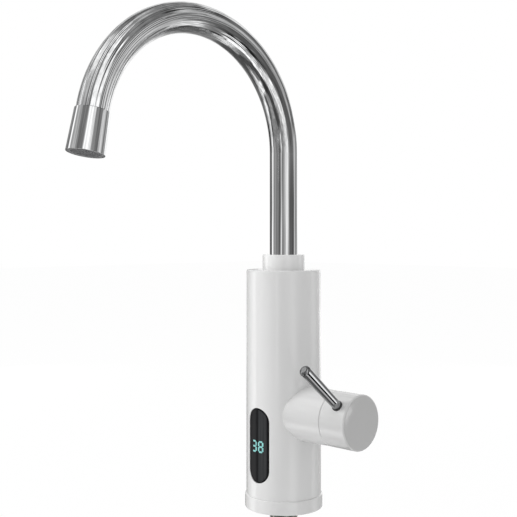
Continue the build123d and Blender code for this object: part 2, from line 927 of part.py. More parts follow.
def make_handle_cap():
    """The white cap that turns on the boss: skirt, solid nose, hub and lever hole."""
    solid_back = cap_face - cap_solid
    hub_back = solid_back - cap_hub_length
    cap = rod(cap_radius, cap_back, cap_face)
    cap = fillet(rim(cap, cap_radius, cap_face), cap_edge)
    cap = chamfer(rim(cap, cap_radius, cap_back), boss_edge)
    cap -= rod(cap_radius - cap_wall, cap_back, solid_back)
    cap += rod(cap_hub_radius, hub_back, solid_back)
    cap -= rod(spindle_radius + running_fit, hub_back, spindle_end + free_gap)
    cap = handle_axis * cap
    seat = cap_radius - lever_seat
    hole = lever_root_radius + slip_fit
    low = cap_radius - lever_mouth
    cap -= lever_axis * rod(hole, seat, 2 * cap_radius)
    cap -= lever_axis * rod(hole + seal_wall, low, 2 * cap_radius)
    cap -= lever_axis * rod(lever_thread_radius + slip_fit, seat - lever_thread_length, seat)
    return cap - grub_axis * rod(grub_radius + slip_fit, 0, 2 * cap_radius)


def make_lever():
    """The chrome pin that turns the cap, screwed in its side."""
    seat = cap_radius - lever_seat
    tip = cap_radius + lever_length
    pin = rod(lever_root_radius, seat, cap_radius)
    pin += taper(lever_root_radius, lever_tip_radius, cap_radius, tip)
    pin = fillet(rim(pin, lever_tip_radius, tip), lever_dome)
    return lever_axis * (pin + rod(lever_thread_radius, seat - lever_thread_length, seat))


def make_lever_seal():
    """The black rubber ring in the lever's counterbore."""
    low = cap_radius - lever_mouth
    outer = lever_root_radius + running_fit + seal_wall
    ring = rod(outer, low, low + seal_height)
    ring = fillet(rim(ring, outer, low + seal_height), seal_edge)
    return lever_axis * (ring - rod(lever_root_radius + running_fit, low, low + seal_height))


def make_grub_screw():
    """The small screw in the hub that locks the cap on the spindle's flat."""
    start = spindle_radius - spindle_flat
    screw = rod(grub_radius, start, start + grub_length)
    socket = hexagon(grub_radius, start + grub_length / 2, start + grub_length)
    return grub_axis * (screw - socket)


sub_parts = {
    "base_ring": make_base_ring(),
    "base_gasket": make_base_gasket(),
    "base_screws": make_base_screws(),
    "threaded_shank": make_shank(),
    "rubber_washer": make_rubber_washer(),
    "steel_washer": make_steel_washer(),
    "lock_nut": make_lock_nut(),
    "body_shell": make_body_shell(),
    "inner_carrier": make_carrier(),
    "inlet_hose": make_inlet_hose(),
    "flow_switch_body": make_flow_body(),
    "flow_piston": make_flow_piston(),
    "reed_switch": make_reed_switch(),
    "valve_body": make_valve_body(),
    "cartridge": make_cartridge(),
    "fixed_disc": make_fixed_disc(),
    "moving_disc": make_moving_disc(),
    "bonnet_nut": make_bonnet_nut(),
    "valve_spindle": make_spindle(),
    "feed_hose": make_small_hose(valve_top + hose_gap, tank_bottom - hose_gap),
    "heater_tank": make_heater_tank(),
    "heating_element": make_heating_element(),
    "temperature_probe": make_temperature_probe(),
    "thermal_cutout": make_thermal_cutout(),
    "outlet_hose": make_small_hose(tank_top + hose_gap, socket_bottom - hose_gap),
    "display_board": make_display_board(),
    "digit_module": make_digit_module(),
    "power_board": make_power_board(),
    "triac": make_triac(),
    "relay": make_relay(),
    "display_frame": make_display_frame(),
    "display_lens": make_display_lens(),
    "display_digits": make_display_digits(),
    "cable_gland": make_cable_gland(),
    "outlet_socket": make_outlet_socket(),
    "top_collar": make_top_collar(),
    "spout_stem": make_spout_stem(),
    "spout_rings": make_spout_rings(),
    "spout_tube": make_spout_tube(),
    "nozzle": make_nozzle(),
    "aerator_gasket": make_aerator_gasket(),
    "aerator": make_aerator(),
    "handle_cap": make_handle_cap(),
    "lever": make_lever(),
    "lever_seal": make_lever_seal(),
    "grub_screw": make_grub_screw(),
}

os.makedirs("parts", exist_ok=True)
for name, shape in sub_parts.items():
    export_step(shape, f"parts/{name}.step")
    print(name, "solids", len(shape.solids()), "volume", round(shape.volume))
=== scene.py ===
"""Looks of an electric instant water heater tap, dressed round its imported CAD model."""

import json
import logging
import math
from contextlib import contextmanager
from dataclasses import dataclass
from enum import Enum
from typing import Callable, Iterator, Union

import bmesh
import bpy
from mathutils import Matrix, Vector


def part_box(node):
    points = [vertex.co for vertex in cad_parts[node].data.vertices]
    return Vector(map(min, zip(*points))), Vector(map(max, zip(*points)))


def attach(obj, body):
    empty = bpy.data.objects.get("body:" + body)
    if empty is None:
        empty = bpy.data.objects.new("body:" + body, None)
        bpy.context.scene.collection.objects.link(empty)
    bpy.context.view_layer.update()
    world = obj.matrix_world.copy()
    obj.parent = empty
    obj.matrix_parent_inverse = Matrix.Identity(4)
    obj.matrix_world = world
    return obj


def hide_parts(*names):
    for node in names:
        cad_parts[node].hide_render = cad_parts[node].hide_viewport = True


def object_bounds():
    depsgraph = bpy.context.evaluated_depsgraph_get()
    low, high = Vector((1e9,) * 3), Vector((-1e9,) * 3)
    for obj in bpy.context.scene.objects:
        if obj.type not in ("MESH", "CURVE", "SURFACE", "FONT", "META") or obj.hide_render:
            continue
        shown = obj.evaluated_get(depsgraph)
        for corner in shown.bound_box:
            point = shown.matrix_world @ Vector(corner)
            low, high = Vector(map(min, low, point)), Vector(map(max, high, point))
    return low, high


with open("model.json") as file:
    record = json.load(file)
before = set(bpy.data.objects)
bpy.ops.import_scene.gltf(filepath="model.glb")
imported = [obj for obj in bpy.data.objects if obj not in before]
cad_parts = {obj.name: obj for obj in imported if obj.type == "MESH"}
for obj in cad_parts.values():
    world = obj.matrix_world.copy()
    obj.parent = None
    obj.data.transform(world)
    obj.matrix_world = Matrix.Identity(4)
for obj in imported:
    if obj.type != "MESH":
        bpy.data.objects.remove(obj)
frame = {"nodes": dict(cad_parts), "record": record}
cad_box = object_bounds()
log = logging.getLogger("tap")

Triple = tuple[float, float, float]
Color = Triple
Span = tuple[float, float]
Point = tuple[float, float]

MM = 0.001
UM = 0.000001

# The spout's bend: its radius, and the height of its middle above the worktop.
BEND_RADIUS = 87.2 * MM
BEND_HEIGHT = 264.05 * MM

# Distances at which drawn points and finished meshes merge, and the angle in degrees below
# which an edge is shaded smooth.
DRAW_WELD = 0.001 * MM
MESH_WELD = 0.002 * MM
SMOOTH_BELOW = 35.0

# Where most of a noise lies.
NOISE_SPAN = (0.3, 0.7)

# Light of the plain surroundings, and of the panels, at a level of 1.
WHITE_LIGHT = (1.0, 1.0, 1.0, 1.0)
PANEL_LIGHT = (0.8, 0.8, 0.8, 1.0)

MOULDING_WHITE = (0.83, 0.83, 0.828)
CHROME_GREY = (0.84, 0.845, 0.85)

# How far inside its end the cap gets its painted shade, and how far outside the collar the boss
# does.
CAP_EDGE = 0.12 * MM
BOSS_EDGE = 12.3 * MM


# Material maths


class Wire:
    """A value that runs through a material, with the usual signs for sums on it."""

    def __init__(self, graph: "Graph", socket: "bpy.types.NodeSocket | None") -> None:
        """Keeps the graph and the output socket that the value comes from."""
        self.graph = graph
        self.socket = socket

    def _math(self, operation: str, first: "Value", second: "Value" = 0.0) -> "Wire":
        """Adds one Math node on two values."""
        return self.graph.add("ShaderNodeMath", {"operation": operation}, {0: first, 1: second})

    def __add__(self, other: "Value") -> "Wire":
        """Sum of two values."""
        return self._math("ADD", self, other)

    __radd__ = __add__

    def __sub__(self, other: "Value") -> "Wire":
        """Difference of two values."""
        return self._math("SUBTRACT", self, other)

    def __rsub__(self, other: "Value") -> "Wire":
        """Difference with the number in front."""
        return self._math("SUBTRACT", other, self)

    def __mul__(self, other: "Value") -> "Wire":
        """Product of two values."""
        return self._math("MULTIPLY", self, other)

    __rmul__ = __mul__

    def __pow__(self, other: "Value") -> "Wire":
        """Power of a value."""
        return self._math("POWER", self, other)

    def __gt__(self, other: "Value") -> "Wire":
        """One where the value is greater, and nought elsewhere."""
        return self._math("GREATER_THAN", self, other)

    def __abs__(self) -> "Wire":
        """Size of the value without its sign."""
        return self._math("ABSOLUTE", self)

    def at_least(self, low: "Value") -> "Wire":
        """The value, or the low one where that is greater."""
        return self._math("MAXIMUM", self, low)

    def arctan(self, run: "Value") -> "Wire":
        """Angle of a line that rises by this value over a run, in radians."""
        return self._math("ARCTAN2", self, run)

    def arcsin(self) -> "Wire":
        """Angle whose sine is this value, in radians."""
        return self._math("ARCSINE", self)

    def within(self, low: "Value", high: "Value") -> "Wire":
        """The value brought to 0 at low and 1 at high, and held between them."""
        settings = {"interpolation_type": "SMOOTHSTEP", "clamp": True}
        return self.graph.add(
            "ShaderNodeMapRange", settings, {"Value": self, "From Min": low, "From Max": high}
        )

    def between(self, low: float, high: float, soft: float) -> "Wire":
        """One between two limits and nought outside them.

        Args:
            low: The lower limit.
            high: The upper limit.
            soft: How wide each edge is.

        Returns:
            The mask, which is a half on each limit.
        """
        half = (high - low) / 2.0
        edge = abs(self - (low + half))
        return edge.within(half + soft / 2.0, half - soft / 2.0)


Value = Union[Wire, float]


class Detail(Enum):
    """How many finer layers a noise has on top."""

    SMOOTH = 1.0
    SOFT = 2.0
    FINE = 3.0


class Graph:
    """One node tree, with one method that adds any node."""

    # Numbers of the Mix node's two colour inputs and of its colour output.
    color_inputs = (6, 7)
    color_output = 2

    def __init__(self, tree: bpy.types.NodeTree) -> None:
        """Starts on an empty tree."""
        self.tree = tree
        tree.nodes.clear()

    def add(
        self, kind: str, settings: dict | None = None, sockets: dict | None = None,
        output: int | str = 0,
    ) -> Wire:
        """Adds a node.

        Args:
            kind: The node's type.
            settings: Its own settings, set first.
            sockets: Values or wires for its inputs, by name or number.
            output: The output that is handed back, by name or number.

        Returns:
            The output as a wire, which is empty where the node has none.
        """
        node = self.tree.nodes.new(kind)
        for name, value in (settings or {}).items():
            setattr(node, name, value)
        for name, value in (sockets or {}).items():
            if isinstance(value, Wire):
                self.tree.links.new(value.socket, node.inputs[name])
            else:
                node.inputs[name].default_value = value
        return Wire(self, node.outputs[output] if len(node.outputs) else None)

    def place(self) -> Wire:
        """The point on the object, in metres."""
        return self.add("ShaderNodeTexCoord", output="Object")

    def ray(self, kind: str) -> Wire:
        """What Light Path says about a ray, by the name of its output."""
        return self.add("ShaderNodeLightPath", output=kind)

    def looked_at(self) -> Wire:
        """One where the camera looks, straight or through the lens, and nought elsewhere."""
        return self.ray("Is Camera Ray") + self.ray("Is Transmission Ray")

    def axes(self, vector: Wire) -> tuple[Wire, Wire, Wire]:
        """The parts of a vector along X, Y and Z."""
        parts = self.add("ShaderNodeSeparateXYZ", sockets={0: vector}).socket.node.outputs
        return Wire(self, parts[0]), Wire(self, parts[1]), Wire(self, parts[2])

    def noise(
        self, size: float, detail: Detail = Detail.SOFT, stretch: Triple = (1.0, 1.0, 1.0)
    ) -> Wire:
        """Soft noise whose blobs are about one size across.

        Args:
            size: Size of a blob, in metres.
            detail: Finer layers on top.
            stretch: Factors that squeeze the pattern along each axis.

        Returns:
            The noise, from 0 to 1.
        """
        spot = self.add("ShaderNodeMapping", sockets={"Vector": self.place(), "Scale": stretch})
        return self.add(
            "ShaderNodeTexNoise",
            sockets={"Vector": spot, "Scale": 1.0 / size, "Detail": detail.value},
        )

    def blend(self, factor: Value, first: "Wire | Color", second: "Wire | Color") -> Wire:
        """Mixes two colours.

        Args:
            factor: The second colour's share.
            first: The colour at a share of 0.
            second: The colour at a share of 1.

        Returns:
            The mixed colour.
        """
        inputs = {0: factor}
        for number, color in zip(self.color_inputs, (first, second)):
            inputs[number] = color if isinstance(color, Wire) else (*color, 1.0)
        return self.add("ShaderNodeMix", {"data_type": "RGBA"}, inputs, self.color_output)

    def bump(self, height: Wire, depth: float = 1.0) -> Wire:
        """A normal that follows a height, times a depth, in metres."""
        return self.add(
            "ShaderNodeBump", sockets={"Height": height, "Distance": depth, "Strength": 1.0}
        )


def scaled(color: Color, share: float) -> Color:
    """A colour times a share, held at white."""
    return tuple(min(1.0, part * share) for part in color)


# Finishes


@dataclass(frozen=True)
class Finish:
    """A plain finish: what every surface of the tap starts from.

    Sizes and depths are in metres, and each wander is a share of the value that it changes.
    """

    name: str
    color: Color
    roughness: float
    metallic: float = 0.0
    coat: float = 0.0
    coat_roughness: float = 0.1
    mirror: float = 0.5
    grain_size: float = 1.0 * MM
    grain_depth: float = 2.0 * UM
    cloud_size: float = 30.0 * MM
    color_wander: float = 0.03
    smear_size: float = 12.0 * MM
    smear_stretch: Triple = (1.0, 1.0, 0.35)
    gloss_wander: float = 0.15

    def make(self) -> bpy.types.Material:
        """Builds the material.

        Returns:
            The material.
        """
        material = bpy.data.materials.new(self.name)
        material.use_nodes = True
        graph = Graph(material.node_tree)
        sockets = {
            "Metallic": self.metallic,
            "Coat Weight": self.coat,
            "Coat Roughness": self.coat_roughness,
            "Specular IOR Level": self.mirror,
            "Base Color": self.paint(graph),
            "Roughness": self.gloss(graph),
            "Normal": self.relief(graph),
            **self.extra(graph),
        }
        shader = graph.add("ShaderNodeBsdfPrincipled", sockets=sockets)
        graph.add("ShaderNodeOutputMaterial", sockets={"Surface": shader})
        return material

    def paint(self, graph: Graph) -> Wire:
        """The colour, a little uneven over a few centimetres.

        Args:
            graph: The material's nodes.

        Returns:
            The colour.
        """
        low = scaled(self.color, 1.0 - self.color_wander)
        high = scaled(self.color, 1.0 + self.color_wander)
        return graph.blend(graph.noise(self.cloud_size), low, high)

    def gloss(self, graph: Graph) -> Wire:
        """The roughness, with faint wiped patches."""
        return self.uneven(graph.noise(self.smear_size, Detail.FINE, self.smear_stretch))

    def uneven(self, pattern: Wire) -> Wire:
        """The roughness, moved down and up by a pattern from 0 to 1."""
        low = self.roughness * (1.0 - self.gloss_wander)
        return pattern * (2.0 * self.roughness * self.gloss_wander) + low

    def relief(self, graph: Graph) -> Wire:
        """The fine grain of the surface."""
        return graph.bump(graph.noise(self.grain_size), self.grain_depth)

    def extra(self, graph: Graph) -> dict:
        """Sockets that only some finishes use."""
        return {}


@dataclass(frozen=True)
class WavyFinish(Finish):
    """A glossy finish with long soft waves under its grain."""

    grain_detail: Detail = Detail.SOFT
    wave_size: float = 20.0 * MM
    wave_depth: float = 20.0 * UM

    def relief(self, graph: Graph) -> Wire:
        """The grain on top of the waves.

        Args:
            graph: The material's nodes.

        Returns:
            The normal.
        """
        grain = graph.noise(self.grain_size, self.grain_detail) * self.grain_depth
        wave = graph.noise(self.wave_size, Detail.SMOOTH) * self.wave_depth
        return graph.bump(grain + wave)


@dataclass(frozen=True)
class GlossMoulding(WavyFinish):
    """White moulded plastic, with a fine orange peel."""

    roughness: float = 0.22
    coat: float = 1.0
    grain_depth: float = 1.2 * UM
    color_wander: float = 0.012


@dataclass(frozen=True)
class ShadePaintedMoulding(GlossMoulding):
    """White moulding with painted shade: a little greyer past one distance to the side."""

    painted_shade: float = 0.15
    start: float = 0.0
    edge: float = 0.1 * MM

    def paint(self, graph: Graph) -> Wire:
        """The colour, with painted shade where the measure passes the start."""
        past = self.measure(graph).within(self.start, self.start + self.edge)
        # Painted shade: past the start the moulding's colour is darkened by a share.
        return graph.blend(past, super().paint(graph), scaled(self.color, 1.0 - self.painted_shade))

    def measure(self, graph: Graph) -> Wire:
        """How far a point is to the side."""
        return graph.axes(graph.place())[0]


@dataclass(frozen=True)
class BossMoulding(ShadePaintedMoulding):
    """White moulding of the body, with painted shade on the boss that stands out of its cylinder.
    """

    def measure(self, graph: Graph) -> Wire:
        """How far a point is from the body's own axis."""
        across, along, _ = graph.axes(graph.place())
        return (across * across + along * along) ** 0.5


@dataclass(frozen=True)
class Chrome(WavyFinish):
    """Polished plate: a mirror with a slow ripple and a few wiped streaks."""

    roughness: float = 0.03
    metallic: float = 1.0
    grain_depth: float = 0.6 * UM
    grain_detail: Detail = Detail.SMOOTH
    color_wander: float = 0.02
    gloss_wander: float = 0.5
    wave_size: float = 30.0 * MM
    wave_depth: float = 60.0 * UM


@dataclass(frozen=True)
class BentChrome(Chrome):
    """Plate on the bent spout, whose polishing marks run along the pipe.

    Turns are in radians round the bend, from the riser. The marks reach the near share over
    the near turn, and their full depth over the far one.
    """

    stroke_length: float = 120.0 * MM
    stroke_width: float = 3.0 * MM
    stroke_depth: float = 1.0 * MM
    riser_share: float = 0.06
    near_share: float = 0.25
    near_turn: Span = (0.0, 0.5)
    far_turn: Span = (0.8, 1.8)
    climb: float = 0.5

    def relief(self, graph: Graph) -> Wire:
        """Long strokes that follow the riser and the bend, on top of the waves.

        Args:
            graph: The material's nodes.

        Returns:
            The normal.
        """
        across, along, up = graph.axes(graph.place())
        rise = (up - BEND_HEIGHT).at_least(0.0)
        out = along + BEND_RADIUS
        reach = (out * out + rise * rise) ** 0.5
        turn = rise.arctan(out)
        travel = turn * BEND_RADIUS + up * self.climb
        spot = graph.add(
            "ShaderNodeCombineXYZ",
            sockets={
                "X": across * (1.0 / self.stroke_width),
                "Y": reach * (1.0 / self.stroke_width),
                "Z": travel * (1.0 / self.stroke_length),
            },
        )
        strokes = graph.add(
            "ShaderNodeTexNoise",
            sockets={"Vector": spot, "Scale": 1.0, "Detail": Detail.SOFT.value},
        )
        near = turn.within(*self.near_turn) * self.near_share
        far = turn.within(*self.far_turn) * (1.0 - self.near_share)
        share = far + near + self.riser_share
        wave = graph.noise(self.wave_size, Detail.SMOOTH) * self.wave_depth
        return graph.bump(strokes * share * self.stroke_depth + wave)


@dataclass(frozen=True)
class SmokedLens(Finish):
    """Dark see-through plastic, with a painted reflection: a soft lighter upright band."""

    reflection_band: Span = (0.8 * MM, 8.2 * MM)
    painted_reflection_color: Color = (0.05, 0.052, 0.054)
    reflection_band_edge: float = 1.2 * MM
    streak_size: float = 1.2 * MM
    streak_stretch: Triple = (1.0, 1.0, 0.05)
    streak_share: float = 0.35

    def paint(self, graph: Graph) -> Wire:
        """The smoke, with the painted reflection as a soft lighter upright band.

        Args:
            graph: The material's nodes.

        Returns:
            The colour.
        """
        across, _, _ = graph.axes(graph.place())
        streak = graph.noise(self.streak_size, Detail.SMOOTH, self.streak_stretch)
        streak = streak.within(*NOISE_SPAN) * self.streak_share + (1.0 - self.streak_share)
        # Painted reflection: a lighter upright band across the lens, broken by streaks.
        reflection_band = across.between(*self.reflection_band, self.reflection_band_edge)
        return graph.blend(reflection_band * streak, self.color, self.painted_reflection_color)


@dataclass(frozen=True)
class TurnedMetal(Finish):
    """Metal from the lathe: fine rings across the upright axis."""

    metallic: float = 1.0
    grain_depth: float = 4.0 * UM
    ring_pitch: float = 0.4 * MM
    ring_stretch: Triple = (0.02, 0.02, 1.0)

    def relief(self, graph: Graph) -> Wire:
        """Rings left by the tool."""
        rings = graph.noise(self.ring_pitch, Detail.SOFT, self.ring_stretch)
        return graph.bump(rings, self.grain_depth)

    def gloss(self, graph: Graph) -> Wire:
        """Rings that are duller and brighter by turns."""
        return self.uneven(graph.noise(2.0 * self.ring_pitch, Detail.SOFT, self.ring_stretch))


class Cell(Enum):
    """The shape of a cell in a pattern, by the way that it measures from its middle."""

    SQUARE = "CHEBYCHEV"
    ROUND = "EUCLIDEAN"


@dataclass(frozen=True)
class CircuitBoard(Finish):
    """A lacquered board with copper tracks and tinned pads.

    The edges are where a pattern fades, as shares of its pitch.
    """

    track_pitch: float = 2.2 * MM
    track_wander: float = 0.35
    track_edge: Span = (0.36, 0.42)
    track_color: Color = (0.02, 0.30, 0.13)
    pad_pitch: float = 4.5 * MM
    pad_wander: float = 0.6
    pad_edge: Span = (0.16, 0.13)
    pad_color: Color = (0.62, 0.62, 0.60)

    def paint(self, graph: Graph) -> Wire:
        """Tracks as the edges of cells, and a round pad in some of them.

        Args:
            graph: The material's nodes.

        Returns:
            The colour.
        """
        cells = self.cells(graph, Cell.SQUARE, self.track_pitch, self.track_wander)
        dots = self.cells(graph, Cell.ROUND, self.pad_pitch, self.pad_wander)
        tracks = graph.blend(cells.within(*self.track_edge), self.track_color, self.color)
        return graph.blend(dots.within(*self.pad_edge), tracks, self.pad_color)

    def cells(self, graph: Graph, cell: Cell, pitch: float, wander: float) -> Wire:
        """How far a point is from its cell's middle.

        Args:
            graph: The material's nodes.
            cell: The shape of the cells.
            pitch: Their size, in metres.
            wander: How far they leave a square net, from 0 to 1.

        Returns:
            The distance, as a share of the pitch.
        """
        sockets = {"Vector": graph.place(), "Scale": 1.0 / pitch, "Randomness": wander}
        return graph.add("ShaderNodeTexVoronoi", {"distance": cell.value}, sockets)


@dataclass(frozen=True)
class LitBar(Finish):
    """A lit bar of the temperature display."""

    glow: Color = (0.2, 0.43, 0.4)
    glow_strength: float = 1.0
    glow_peak: float = 1.35
    patch_size: float = 4.0 * MM
    patch_edge: Span = (0.35, 0.65)

    def extra(self, graph: Graph) -> dict:
        """Light that is a little uneven along the bars.

        Args:
            graph: The material's nodes.

        Returns:
            The sockets of the light.
        """
        patch = graph.noise(self.patch_size, Detail.SMOOTH).within(*self.patch_edge)
        return {
            "Emission Color": graph.blend(patch, self.glow, scaled(self.glow, self.glow_peak)),
            "Emission Strength": self.glow_strength,
        }


class Palette:
    """Every finish of the tap: by the record's slot names, and by nodes that have their own."""

    finishes: dict[str, Finish] = {
        "white_plastic": GlossMoulding("white_gloss_moulding", MOULDING_WHITE),
        "chrome": Chrome("polished_chrome", CHROME_GREY),
        "black_surround": Finish("black_surround", (0.006, 0.006, 0.007), 0.35, mirror=0.2),
        "smoked_lens": SmokedLens(
            "smoked_lens", (0.015, 0.015, 0.016), 0.12, mirror=0.12, grain_depth=0.8 * UM
        ),
        "lit_digits": LitBar("lit_digits", (0.05, 0.16, 0.18), 0.3),
        "soft_rubber": Finish(
            "soft_rubber", (0.03, 0.03, 0.031), 0.72, grain_size=0.5 * MM, grain_depth=10.0 * UM
        ),
        "grey_rubber": Finish(
            "grey_rubber", (0.50, 0.505, 0.51), 0.6, grain_size=0.6 * MM, grain_depth=10.0 * UM
        ),
        "hose": Finish("silicone_hose", (0.70, 0.70, 0.66), 0.4, color_wander=0.06),
        "brass": TurnedMetal("turned_brass", (0.72, 0.53, 0.26), 0.28),
        "plated_brass": TurnedMetal(
            "nickel_plate", (0.66, 0.65, 0.61), 0.24, grain_depth=3.0 * UM
        ),
        "steel": TurnedMetal("stainless_steel", (0.60, 0.60, 0.60), 0.32),
        "carrier_plastic": Finish(
            "carrier_nylon", (0.74, 0.74, 0.71), 0.5, grain_size=0.8 * MM, grain_depth=10.0 * UM
        ),
        "aerator_plastic": Finish(
            "aerator_moulding", (0.24, 0.24, 0.245), 0.4, grain_size=0.8 * MM,
            grain_depth=6.0 * UM,
        ),
        "black_plastic": Finish(
            "black_moulding", (0.03, 0.03, 0.03), 0.45, grain_size=0.8 * MM, grain_depth=8.0 * UM
        ),
        "ceramic": Finish("polished_ceramic", (0.88, 0.88, 0.86), 0.12, coat=0.4),
        "board": CircuitBoard("circuit_board", (0.012, 0.12, 0.05), 0.28, coat=0.4),
    }

    own_finishes: dict[str, Finish] = {
        "spout_tube": BentChrome("bent_pipe_chrome", CHROME_GREY),
        "nozzle": BentChrome("nozzle_chrome", CHROME_GREY, stroke_depth=0.03 * MM),
        # Painted shade: the lever is a much darker copy of the chrome.
        "lever": Chrome("lever_chrome_painted_shade", (0.34, 0.343, 0.347), 0.06),
        # Painted shade: the cap is a darker copy of the white moulding, and its end face is
        # painted greyer still.
        "handle_cap": ShadePaintedMoulding(
            "cap_moulding_painted_shade", (0.67, 0.67, 0.668), coat=0.8, painted_shade=0.19,
            start=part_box("handle_cap")[1].x - CAP_EDGE,
        ),
        # Painted shade: the boss is painted greyer than the rest of the body.
        "body_shell": BossMoulding(
            "body_moulding_painted_shade", MOULDING_WHITE, painted_shade=0.14,
            start=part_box("top_collar")[1].x + BOSS_EDGE,
        ),
        # Painted light: the collar is a lighter copy of the white moulding.
        "top_collar": GlossMoulding("collar_moulding_painted_light", (0.93, 0.93, 0.928)),
    }

    def __init__(self) -> None:
        """Builds each finish once."""
        self.materials = {slot: finish.make() for slot, finish in self.finishes.items()}
        self.own = {node: finish.make() for node, finish in self.own_finishes.items()}

    def dress_nodes(self) -> None:
        """Puts the finishes on the CAD nodes, by the slots in the record or by their own names."""
        for entry in frame["record"]["subparts"]:
            self.dress(frame["nodes"][entry["node"]], entry["material_slot"])
            log.info("dressed %s in %s", entry["node"], entry["material_slot"])
        for name, material in self.own.items():
            for slot in frame["nodes"][name].material_slots:
                slot.material = material

    def dress(self, piece: bpy.types.Object, slot: str) -> None:
        """Puts one finish on one piece.

        Args:
            piece: The piece.
            slot: The record's slot that the finish is listed by.
        """
        slots = piece.data.materials
        if len(slots) == 0:
            slots.append(self.materials[slot])
        for index in range(len(slots)):
            slots[index] = self.materials[slot]


# Modelling


class Axis(Enum):
    """An axis that a piece is turned about."""

    ACROSS = "X"
    UPRIGHT = "Z"


class Piece:
    """One modelled piece, worked on in edit mode with its parts picked in code.

    Sizes are in metres. The object stays at the origin, and its place is in its mesh.
    """

    def __init__(self, name: str, maker: Callable, **settings: object) -> None:
        """Adds a primitive.

        Args:
            name: The piece's name.
            maker: The operator that adds it.
            settings: The operator's own settings.
        """
        bpy.ops.object.select_all(action="DESELECT")
        maker(**settings)
        self.body = bpy.context.object
        self.body.name = name
        self.body.data.name = name
        bpy.ops.object.transform_apply(location=True, rotation=True, scale=True)

    def hold(self) -> None:
        """Makes this the only selected object and the active one."""
        bpy.ops.object.select_all(action="DESELECT")
        self.body.select_set(True)
        bpy.context.view_layer.objects.active = self.body

    @contextmanager
    def editing(self) -> Iterator[None]:
        """Edit mode on this piece alone, with everything selected."""
        self.hold()
        bpy.ops.object.mode_set(mode="EDIT")
        bpy.ops.mesh.select_mode(type="VERT")
        bpy.ops.mesh.select_all(action="SELECT")
        yield
        bpy.ops.object.mode_set(mode="OBJECT")

    def pick(self, rule: Callable[[Vector], bool]) -> None:
        """Selects the faces whose middles a rule wants. Works inside editing().

        Args:
            rule: Says whether a middle is wanted.
        """
        bpy.ops.mesh.select_mode(type="FACE")
        bpy.ops.mesh.select_all(action="DESELECT")
        for face in bmesh.from_edit_mesh(self.body.data).faces:
            face.select_set(rule(face.calc_center_median()))
        bmesh.update_edit_mesh(self.body.data)

    def draw(self, points: list[Point]) -> None:
        """Turns the piece into a closed line through points.

        Args:
            points: The points, each a radius and a height.
        """
        with self.editing():
            bpy.ops.mesh.merge(type="CENTER")
            here = Vector((points[0][0], 0.0, points[0][1]))
            bpy.ops.transform.translate(value=here)
            for radius, height in points[1:] + points[:1]:
                there = Vector((radius, 0.0, height))
                bpy.ops.mesh.extrude_region_move(TRANSFORM_OT_translate={"value": there - here})
                here = there
            bpy.ops.mesh.select_all(action="SELECT")
            bpy.ops.mesh.remove_doubles(threshold=DRAW_WELD)

    def turn(self, steps: int) -> None:
        """Spins the drawn line round the Z axis."""
        with self.editing():
            bpy.ops.mesh.spin(
                steps=steps, angle=math.tau, center=(0.0, 0.0, 0.0), axis=(0.0, 0.0, 1.0)
            )
        self.mend()

    def mend(self) -> None:
        """Merges doubles and turns every face outward."""
        with self.editing():
            bpy.ops.mesh.remove_doubles(threshold=MESH_WELD)
            bpy.ops.mesh.select_all(action="SELECT")
            bpy.ops.mesh.normals_make_consistent(inside=False)

    def modify(self, kind: str, **settings: object) -> None:
        """Adds a modifier and applies it.

        Args:
            kind: The modifier's type.
            settings: The modifier's own settings.
        """
        self.hold()
        modifier = self.body.modifiers.new(kind.lower(), kind)
        for name, value in settings.items():
            setattr(modifier, name, value)
        bpy.ops.object.modifier_apply(modifier=modifier.name)

    def take(self, other: "Piece") -> None:
        """Joins a piece to this one.

        Args:
            other: The piece, which is gone afterwards.
        """
        self.hold()
        other.body.select_set(True)
        bpy.ops.object.join()

    def cut(self, cutter: "Piece") -> None:
        """Cuts another piece's shape out of this one and removes that piece."""
        self.modify("BOOLEAN", operation="DIFFERENCE", object=cutter.body, solver="EXACT")
        bpy.data.objects.remove(cutter.body)

    def move(self, shift: Vector) -> None:
        """Shifts the mesh."""
        self.body.data.transform(Matrix.Translation(shift))

    def rotate(self, angle: float, axis: Axis = Axis.UPRIGHT) -> None:
        """Turns the mesh about the origin by an angle in degrees."""
        self.body.data.transform(Matrix.Rotation(math.radians(angle), 4, axis.value))

    def duplicate(self) -> None:
        """Duplicates this piece alone, with a mesh of its own."""
        self.hold()
        bpy.ops.object.duplicate()

    def copy(self, name: str) -> "Piece":
        """Another piece of the same shape."""
        return Piece(name, self.duplicate)

    def seat(self, palette: Palette, body: str, slot: str, *nodes: str) -> None:
        """Finishes the piece.

        Args:
            palette: The finishes.
            body: The CAD body that it rides on.
            slot: The record's slot that it takes its finish from.
            nodes: The CAD nodes that it stands for.
        """
        self.hold()
        bpy.ops.object.shade_smooth_by_angle(angle=math.radians(SMOOTH_BELOW))
        palette.dress(self.body, slot)
        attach(self.body, body)
        if nodes:
            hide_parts(*nodes)


def turned(name: str, points: list[Point], steps: int = 96) -> Piece:
    """A piece from the lathe: its section spun round the Z axis.

    Args:
        name: The piece's name.
        points: Its section, each point a radius and a height.
        steps: Faces round the piece.

    Returns:
        The piece.
    """
    piece = Piece(name, bpy.ops.mesh.primitive_plane_add, size=MM)
    piece.draw(points)
    piece.turn(steps)
    return piece


